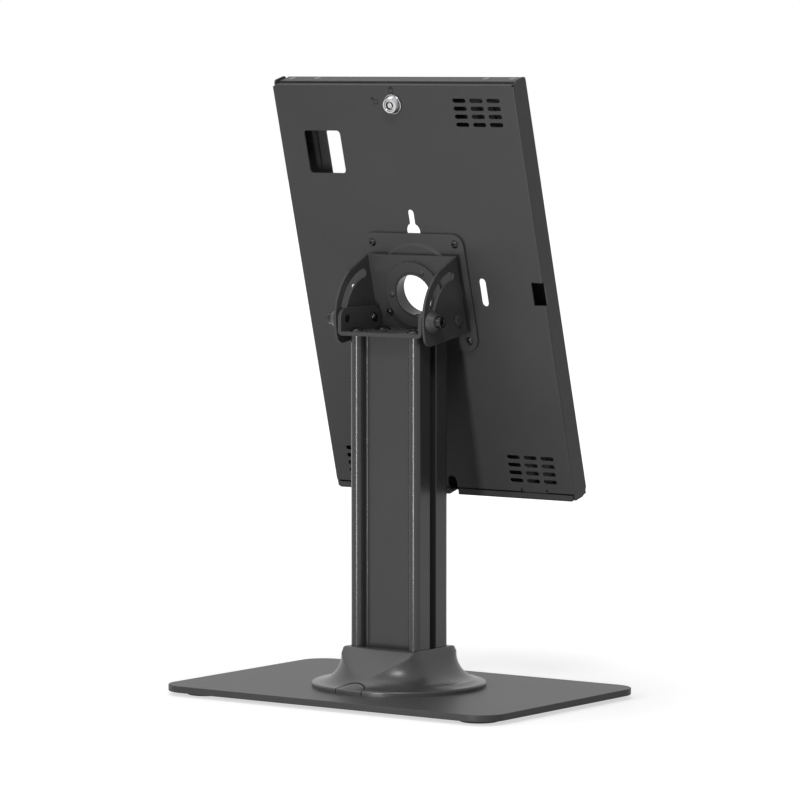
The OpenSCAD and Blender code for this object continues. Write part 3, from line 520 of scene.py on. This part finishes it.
def side_at(height, wall):
    """Half the width between the cover's hollow sides at a height, grown inwards by a wall."""
    drop = COVER_H - height
    reach = SIDE_HOLLOW + wall
    if drop >= reach:
        return 2 * COVER_R
    return COLLAR_HALF[0] + SIDE_HOLLOW - math.sqrt(reach**2 - drop**2)


def cover_levels():
    """The cover's rings: (height, radius of the round form, half width, inset of the fronts)."""
    levels = [(0.0, COVER_R, 2 * COVER_R, 0.0)]
    quarter = [math.pi / 2 * step / ROUND_LEVELS for step in range(ROUND_LEVELS + 1)]
    for angle in quarter:
        radius = COVER_R - RIM_ROUND * (1 - math.cos(angle))
        height = RIM_H - RIM_ROUND + RIM_ROUND * math.sin(angle)
        levels.append((height, radius, side_at(height, 0.0), 0.0))
    flare_r = COVER_R - NECK_R
    for step in range(1, FLARE_LEVELS + 1):
        angle = math.asin(RIM_ROUND / flare_r)
        angle += (math.pi / 2 - angle) * step / FLARE_LEVELS
        height = RIM_H + flare_r * (1 - math.cos(angle))
        levels.append((height, flare_at(height, 0.0), side_at(height, 0.0), 0.0))
    for angle in quarter:
        height = COVER_H - COLLAR_ROUND * (1 - math.sin(angle))
        inset = COLLAR_ROUND * (1 - math.cos(angle))
        flare, side = flare_at(height, 0.0) - inset, side_at(height, 0.0) - inset
        levels.append((height, flare, side, inset))
    return levels


def cover_mesh():
    """The base cover with its gate still in one piece, as a closed shell."""
    slant = math.sqrt(1 + FACET_SLOPE**2)
    outer = cover_levels()
    inner_top = COVER_H - COVER_WALL
    inner = [
        (h, flare_at(h, COVER_WALL), side_at(h, SIDE_WALL), COVER_WALL * slant)
        for h in (inner_top * (1 - step / FLARE_LEVELS) for step in range(FLARE_LEVELS + 1))
    ]
    levels = []
    for height, flare, side, inset in outer + inner:
        front = COLLAR_HALF[1] + FACET_SLOPE * (COVER_H - height) - inset
        has_front = height > FACET_LOW and front < flare
        softness = SOFT_TOP + SOFT_GROWTH * (COVER_H - height)
        crease = crease_angle(flare, side, front, softness) if has_front else None
        levels.append((height, flare, side, front if has_front else None, softness, crease))
    widest = max(level[-1] for level in levels if level[-1])
    bm = bmesh.new()
    loops = []
    for height, flare, side, front, softness, crease in levels:
        angles = station_angles(crease or widest)
        reaches = [cover_reach(angle, flare, side, front, softness) for angle in angles]
        loops.append(add_ring(bm, angles, reaches, height))
        if len(loops) == len(outer):
            for opening_height in (COVER_H, inner_top):
                reaches = [column_reach(angle) for angle in angles]
                loops.append(add_ring(bm, angles, reaches, opening_height))
    for lower, upper in zip(loops, loops[1:] + loops[:1]):
        for step in range(len(lower)):
            bm.faces.new((lower[step - 1], lower[step], upper[step], upper[step - 1]))
    return mesh_from(bm, "cover_form")


def station_angles(crease):
    """Angles round the cover, with a station on each crease."""
    spans = []
    for start in (0.0, math.pi):
        edges = (start - crease, start + crease, start + math.pi - crease)
        spans += [
            (edges[0] - CREASE_WIDE, edges[0] + CREASE_WIDE, CREASE_COLUMNS),
            (edges[0] + CREASE_WIDE, edges[1] - CREASE_WIDE, SIDE_COLUMNS),
            (edges[1] - CREASE_WIDE, edges[1] + CREASE_WIDE, CREASE_COLUMNS),
            (edges[1] + CREASE_WIDE, edges[2] - CREASE_WIDE, FRONT_COLUMNS),
        ]
    return [a + (b - a) * step / count for a, b, count in spans for step in range(count)]


def add_ring(bm, angles, reaches, height):
    """A ring of corners at a height over the base plate, in millimetres."""
    level = plate_top + height * MM
    return [
        bm.verts.new((reach * math.cos(angle) * MM, reach * math.sin(angle) * MM, level))
        for angle, reach in zip(angles, reaches)
    ]


def gate_prism(gap):
    """A prism with the arched outline of the cable gate, grown by a gap."""
    half = GATE_HALF + gap
    arc_r = (GATE_HALF**2 + GATE_RISE**2) / (2 * GATE_RISE)
    centre = GATE_SIDE + GATE_RISE - arc_r
    outline = [(half, -GATE_BELOW)]
    for step in range(SIDE_COLUMNS + 1):
        x = half * (1 - 2 * step / SIDE_COLUMNS)
        outline.append((x, centre + math.sqrt((arc_r + gap) ** 2 - x**2)))
    outline.append((-half, -GATE_BELOW))
    bm = bmesh.new()
    close_prism(
        bm,
        [
            [bm.verts.new((x * MM, depth * MM, plate_top + z * MM)) for x, z in outline]
            for depth in (GATE_FROM, COVER_R + RIM_H)
        ],
    )
    return mesh_from(bm, "gate_prism")


def cut_mesh(name, mesh, cutter, operation):
    """A mesh less a closed cutter, or what it shares with it."""
    things = [bpy.data.objects.new(n, m) for n, m in ((name, mesh), (name + "_tool", cutter))]
    for thing in things:
        bpy.context.scene.collection.objects.link(thing)
    cut = things[0].modifiers.new("cut", "BOOLEAN")
    cut.object = things[1]
    cut.operation = operation
    cut.solver = "EXACT"
    depsgraph = bpy.context.evaluated_depsgraph_get()
    result = bpy.data.meshes.new_from_object(things[0].evaluated_get(depsgraph))
    for thing in things:
        bpy.data.objects.remove(thing)
    result.name = name
    shade(result, CRISP_ANGLE)
    return result


def show_cover():
    """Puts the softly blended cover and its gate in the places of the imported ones."""
    whole = cover_mesh()
    cover = cut_mesh("base_cover_smooth", whole, gate_prism(0.0), "DIFFERENCE")
    gate = cut_mesh("cable_gate_smooth", whole, gate_prism(-GATE_GAP), "INTERSECT")
    for node, mesh in (("base_cover", cover), ("cable_gate", gate)):
        add_piece(mesh.name, mesh, body_of[node], slot_of[node], node)


def add_stroke(bm, points):
    """A narrow line through points that are given across and up the panel, in millimetres."""
    for start, end in zip(points, points[1:]):
        along = Vector((end[0] - start[0], end[1] - start[1])).normalized() * MARK_STROKE / 2
        aside = Vector((-along.y, along.x))
        start, end = Vector(start) - along, Vector(end) + along
        flat = [start - aside, end - aside, end + aside, start + aside]
        bm.faces.new([bm.verts.new(on_panel(x, v)) for x, v in flat])


def on_panel(x, v):
    """A place just over the back panel, in the row frame."""
    return panel_centre + Vector((x * MM, 0, 0)) + UP * v * MM + BACK * MARK_LIFT * MM


def show_marks():
    """Outlines of a shut padlock above the lock and of an open one beside it."""
    bm = bmesh.new()
    wide, high = MARK_HALF
    for (x, v), lean in ((LOCKED_PLACE, 0.0), (OPEN_PLACE, wide + SHACKLE_R)):
        corners = [(-wide, -high), (wide, -high), (wide, high), (-wide, high), (-wide, -high)]
        add_stroke(bm, [(x + a, v + b) for a, b in corners])
        foot = v + high
        bend = foot + SHACKLE_LEG
        arc = [
            (x + lean + SHACKLE_R * math.cos(a), bend + SHACKLE_R * math.sin(a))
            for a in (math.pi * step / DOME_STEPS for step in range(DOME_STEPS + 1))
        ]
        ends = [(x + lean + SHACKLE_R, foot)], [(x + lean - SHACKLE_R, foot)]
        add_stroke(bm, ends[0] + arc + ends[1])
    mesh = bpy.data.meshes.new("padlock_marks")
    bm.to_mesh(mesh)
    bm.free()
    add_piece("padlock_marks", mesh, "enclosure", "rubber")


def column_quarter():
    """A quarter of the column's outline, from the side groove to the wide channel."""
    post = (COLUMN_W / 2 - POST_R, COLUMN_D / 2 - POST_R)
    wall = post[0] - POST_R
    floor = COLUMN_D / 2 - CHANNEL_DEEP
    side = COLUMN_W / 2
    outline = [(side - GROOVE_DEEP, GROOVE_HALF), (side - EASE, GROOVE_HALF)]
    outline += [(side, GROOVE_HALF + EASE), (side, post[1] - EASE)]
    for step in range(2 * POST_STEPS + 1):
        angle = math.pi * step / (2 * POST_STEPS)
        outline.append((post[0] + POST_R * math.cos(angle), post[1] + POST_R * math.sin(angle)))
    for step in range(DOME_STEPS + 1):
        angle = math.pi / 2 * step / DOME_STEPS
        x = wall - CHANNEL_FILLET * (1 - math.cos(angle))
        outline.append((x, floor + CHANNEL_FILLET * (1 - math.sin(angle))))
    return outline


def show_column():
    """Puts a finely drawn extrusion in the column's place."""
    quarter = column_quarter()
    outline = quarter + [(-x, y) for x, y in reversed(quarter)]
    outline += [(-x, -y) for x, y in quarter] + [(x, -y) for x, y in reversed(quarter)]
    low, high = (corner.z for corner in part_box("column"))
    bm = bmesh.new()
    close_prism(
        bm, [[bm.verts.new((x * MM, y * MM, z)) for x, y in outline] for z in (low, high)]
    )
    mesh = mesh_from(bm, "column_fine")
    shade(mesh, SHARP_ANGLE)
    add_piece(mesh.name, mesh, body_of["column"], slot_of["column"], "column")


def make_camera():
    """The photograph's camera."""
    data = bpy.data.cameras.new("camera")
    data.lens = LENS_MM
    data.sensor_width = SENSOR_MM
    data.clip_start = CLIP_NEAR
    data.clip_end = CLIP_FAR
    camera = bpy.data.objects.new("camera", data)
    bpy.context.scene.collection.objects.link(camera)
    back = Vector(
        (
            math.sin(VIEW_AZIMUTH) * math.cos(VIEW_ELEVATION),
            -math.cos(VIEW_AZIMUTH) * math.cos(VIEW_ELEVATION),
            math.sin(VIEW_ELEVATION),
        )
    )
    right = Vector((math.cos(VIEW_AZIMUTH), math.sin(VIEW_AZIMUTH), 0))
    target = right * VIEW_SHIFT_RIGHT + Vector((0, 0, VIEW_HEIGHT))
    camera.location = target + back * VIEW_DISTANCE
    camera.rotation_mode = "QUATERNION"
    camera.rotation_quaternion = (-back).to_track_quat("-Z", "Y")
    bpy.context.scene.camera = camera


def add_lamp(name, direction, distance, size, power):
    """A soft rectangular lamp that faces the object's middle from a direction."""
    data = bpy.data.lights.new(name, "AREA")
    data.shape = "RECTANGLE"
    data.size, data.size_y = size
    data.energy = power
    lamp = bpy.data.objects.new(name, data)
    bpy.context.scene.collection.objects.link(lamp)
    away = Vector(direction).normalized()
    lamp.location = Vector((0, 0, VIEW_HEIGHT)) + away * distance
    lamp.rotation_mode = "QUATERNION"
    lamp.rotation_quaternion = (-away).to_track_quat("-Z", "Y")
    lamp.visible_camera = False


def make_lights():
    """A wide lamp behind, one overhead, and two that show as highlights: on posts and on the cover."""
    add_lamp("key_light", direction=(0.3, 0.8, 0.5), distance=2.2, size=(1.5, 1.1), power=9.0)
    add_lamp("top_light", direction=(0.35, 0.0, 1.0), distance=2.2, size=(1.6, 1.6), power=11.0)
    add_lamp("strip_light", direction=(-0.14, 0.985, -0.08), distance=0.7, size=(0.1, 0.32), power=3.0)
    add_lamp("high_light", direction=(-0.41, 0.575, 0.7), distance=2.0, size=(0.6, 0.45), power=17.0)


def seen_rays(tree):
    """1 for rays from the camera, from reflections and through clear things, else 0."""
    paths = tree.nodes.new("ShaderNodeLightPath")
    seen = paths.outputs["Is Camera Ray"]
    for ray in ("Is Glossy Ray", "Is Transmission Ray"):
        either = tree.nodes.new("ShaderNodeMath")
        either.operation = "MAXIMUM"
        tree.links.new(seen, either.inputs[0])
        tree.links.new(paths.outputs[ray], either.inputs[1])
        seen = either.outputs["Value"]
    return seen


def make_world():
    """White behind the object and in reflections, and a low even light on surfaces."""
    world = bpy.data.worlds.new("studio")
    bpy.context.scene.world = world
    world.use_nodes = True
    tree = world.node_tree
    background = tree.nodes["Background"]
    background.inputs["Color"].default_value = (1, 1, 1, 1)
    strength = spread(tree, seen_rays(tree), AMBIENT, 1.0, 0.0, 1.0)
    tree.links.new(strength, background.inputs["Strength"])


def make_floor():
    """A pale floor that fades to white and keeps the object's shadow."""
    mesh = bpy.data.meshes.new("floor")
    corners = [(x * FLOOR_HALF, y * FLOOR_HALF, 0) for x, y in ((-1, -1), (1, -1), (1, 1), (-1, 1))]
    mesh.from_pydata(corners, [], [(0, 1, 2, 3)])
    floor = bpy.data.objects.new("floor", mesh)
    bpy.context.scene.collection.objects.link(floor)
    material, tree, shader = new_material("floor_white")
    shader.inputs["Base Color"].default_value = (FLOOR_GREY, FLOOR_GREY, FLOOR_GREY, 1)
    shader.inputs["Roughness"].default_value = FLOOR_ROUGH
    shader.inputs["Specular IOR Level"].default_value = FLOOR_SHINE
    glow = tree.nodes.new("ShaderNodeEmission")
    glow.inputs["Color"].default_value = (1, 1, 1, 1)
    coordinates = tree.nodes.new("ShaderNodeTexCoord")
    length = tree.nodes.new("ShaderNodeVectorMath")
    length.operation = "LENGTH"
    tree.links.new(coordinates.outputs["Object"], length.inputs[0])
    white = spread(tree, length.outputs["Value"], FLOOR_NEAR, 1.0, *FLOOR_FADE)
    strength = tree.nodes.new("ShaderNodeMath")
    strength.operation = "MULTIPLY"
    tree.links.new(white, strength.inputs[0])
    tree.links.new(seen_rays(tree), strength.inputs[1])
    tree.links.new(strength.outputs["Value"], glow.inputs["Strength"])
    both = tree.nodes.new("ShaderNodeAddShader")
    tree.links.new(shader.outputs["BSDF"], both.inputs[0])
    tree.links.new(glow.outputs["Emission"], both.inputs[1])
    tree.links.new(both.outputs["Shader"], tree.nodes["Material Output"].inputs["Surface"])
    mesh.materials.append(material)


def to_the_side(middle):
    """Along X, away from the object's middle plane."""
    return Vector((math.copysign(1, middle.x), 0, 0))


def to_the_inside(middle):
    """Along X, towards the object's middle plane."""
    return -to_the_side(middle)


def to_the_back(_):
    """Out of the enclosure's back."""
    return BACK


def upwards(_):
    """Straight up."""
    return Vector((0, 0, 1))


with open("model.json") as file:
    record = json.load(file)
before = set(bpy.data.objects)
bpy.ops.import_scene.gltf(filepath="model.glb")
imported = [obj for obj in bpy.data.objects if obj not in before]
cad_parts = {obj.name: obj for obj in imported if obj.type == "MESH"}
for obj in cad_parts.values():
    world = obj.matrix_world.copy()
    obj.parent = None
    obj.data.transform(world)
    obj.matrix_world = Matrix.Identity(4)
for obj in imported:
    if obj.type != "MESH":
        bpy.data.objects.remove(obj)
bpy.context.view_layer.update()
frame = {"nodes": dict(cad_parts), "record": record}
record = frame["record"]
slot_of = {row["node"]: row["material_slot"] for row in record["subparts"]}
body_of = {node: body for body, group in record["behaviour"]["bodies"].items() for node in group}
turn_joint = next(j for j in record["behaviour"]["joints"] if j["name"] == "turn")
panel_centre = Vector(turn_joint["pos_m"])
plate_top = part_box("base_plate")[1].z

WORKED = {
    "base_plate": PLATE_EDGE,
    "head_bracket": SHEET_EDGE,
    "tilt_bracket": SHEET_EDGE,
    "vesa_plate": SHEET_EDGE,
    "rear_housing": SHEET_EDGE,
    "front_frame": SHEET_EDGE,
    "tablet_stops": SHEET_EDGE,
    "rotation_hub": SHEET_EDGE,
    "hub_sleeve": SHEET_EDGE,
    "friction_ring": SHEET_EDGE,
    "nylon_washers": SHEET_EDGE,
    "rubber_feet": PLATE_EDGE,
}
M4_HEAD = domed_head(shank=2.0, radius=3.2, height=2.4, socket=1.2)
TURNED = {
    "head_screws": (upwards, domed_head(shank=3.0, radius=6.5, height=3.6, socket=2.1)),
    "pivot_screws": (to_the_inside, M4_HEAD),
    "pivot_barrels": (to_the_side, round_head(shank=3.4, radius=4.3, height=1.5)),
    "clamp_bolts": (to_the_side, round_head(shank=3.0, radius=4.3, height=3.9, socket=2.4)),
    "vesa_screws": (to_the_back, M4_HEAD),
    "turn_lock_screw": (to_the_back, M4_HEAD),
    "hub_rivets": (to_the_back, rivet_head(shank=1.5, radius=2.3, height=1.2)),
    "lock_core": (
        to_the_back,
        key_core(radius=4.3, stub=3.25, stub_len=1.8, key_out=3.3, key_in=2.0, key_deep=4.0),
    ),
}
TURNED_RINGS = {
    "cone_washers": (to_the_side, cone_washer(bore=3.1, wide=8.35, narrow=5.6, rim=1.2)),
    "lock_body": (
        to_the_back,
        lock_shell(bore=4.36, barrel=6.0, flange=7.5, flange_t=1.5, neck=7.1, face=5.6, height=5.5),
    ),
}

finishes = make_materials()
make_camera()
make_world()
make_lights()
make_floor()
show_cover()
show_column()
show_marks()
for node_name, width in WORKED.items():
    show_worked(node_name, width)
for node_name, (axis_of, ring_maker) in TURNED.items():
    show_turned(node_name, axis_of, ring_maker)
for node_name, (axis_of, ring_maker) in TURNED_RINGS.items():
    show_turned(node_name, axis_of, ring_maker, closed=True)
for node_name in slot_of:
    if not frame["nodes"][node_name].hide_render:
        show_plain(node_name)

bpy.context.scene.view_settings.view_transform = "Standard"
bpy.context.view_layer.update()
